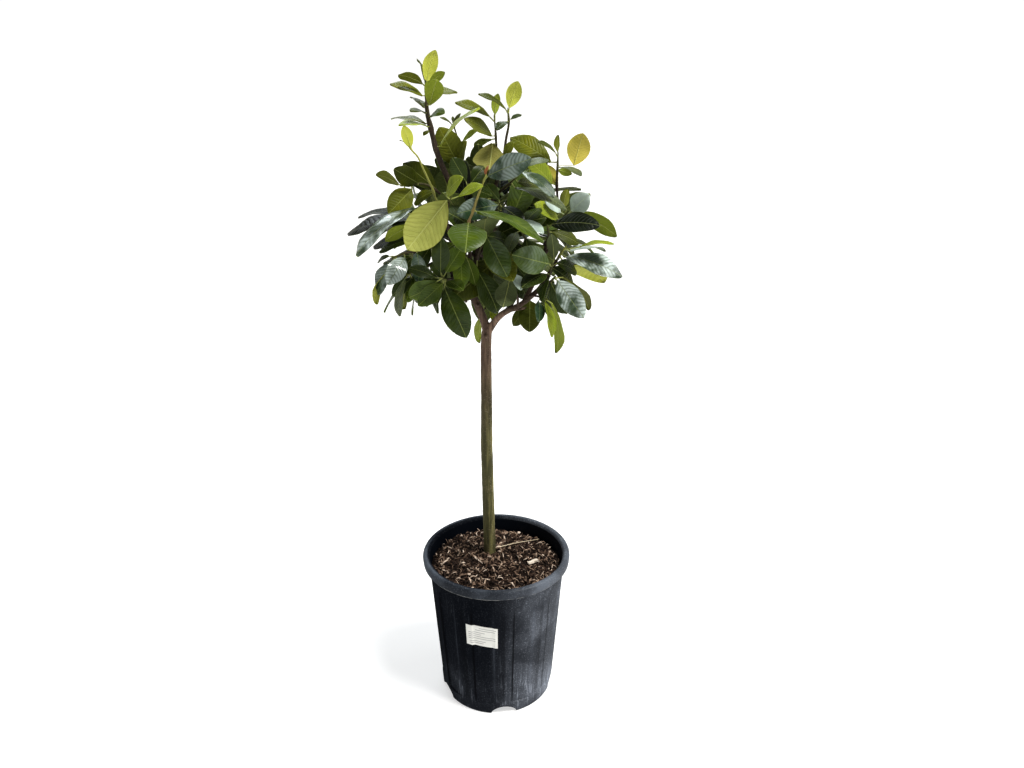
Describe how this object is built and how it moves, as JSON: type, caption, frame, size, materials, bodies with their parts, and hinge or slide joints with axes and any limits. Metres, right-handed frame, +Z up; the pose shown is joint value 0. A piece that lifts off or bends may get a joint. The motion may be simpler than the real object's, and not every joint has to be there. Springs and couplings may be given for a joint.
{
  "type": "potted cherry laurel standard",
  "caption": "Evergreen laurel grown as a small standard: a bare stem with a round leafy crown, rooted in a ribbed black nursery pot filled with bark mulch.",
  "frame": {"origin": "middle of the pot's flat underside, on the ground", "axes": "+Z up along the stem, -Y towards the pot's front with the sticker, +X to the right seen from the front"},
  "size_m": [0.4358, 0.4071, 1.1671],
  "materials": {
    "pot_plastic": "matt black polypropylene with a faint blue cast and dusty scuffs",
    "potting_bark": "loose damp bark and wood chips",
    "bark": "smooth young bark, olive brown to pinkish brown, with pale pores",
    "leaf": "glossy leathery leaves, dark green to yellow-green, with paler midribs",
    "label_paper": "bare matt white sticker"
  },
  "bodies": {
    "root": {"label": "label_paper", "pot": "pot_plastic", "shoot_centre_low": "leaf", "shoot_centre_right": "leaf", "shoot_fork_sprout": "leaf", "shoot_forward": "leaf", "shoot_front": "leaf", "shoot_front_low": "leaf", "shoot_hanging": "leaf", "shoot_hidden_01": "leaf", "shoot_hidden_02": "leaf", "shoot_hidden_03": "leaf", "shoot_hidden_04": "leaf", "shoot_hidden_05": "leaf", "shoot_hidden_06": "leaf", "shoot_hidden_07": "leaf", "shoot_hidden_08": "leaf", "shoot_hidden_09": "leaf", "shoot_hidden_10": "leaf", "shoot_hidden_11": "leaf", "shoot_hidden_12": "leaf", "shoot_hidden_13": "leaf", "shoot_hidden_14": "leaf", "shoot_hidden_15": "leaf", "shoot_hidden_16": "leaf", "shoot_hidden_17": "leaf", "shoot_hidden_18": "leaf", "shoot_inner_top": "leaf", "shoot_leader": "leaf", "shoot_left_bottom": "leaf", "shoot_left_low": "leaf", "shoot_left_middle": "leaf", "shoot_left_top": "leaf", "shoot_right": "leaf", "shoot_right_dark": "leaf", "shoot_right_front": "leaf", "shoot_right_inner": "leaf", "shoot_right_low": "leaf", "shoot_right_top": "leaf", "shoot_right_under": "leaf", "shoot_right_white": "leaf", "shoot_slender": "leaf", "shoot_teal": "leaf", "shoot_top_front": "leaf", "shoot_top_left": "leaf", "shoot_top_middle": "leaf", "shoot_top_right": "leaf", "shoot_whorl": "leaf", "soil": "potting_bark", "trunk": "bark"}
  },
  "joints": []
}
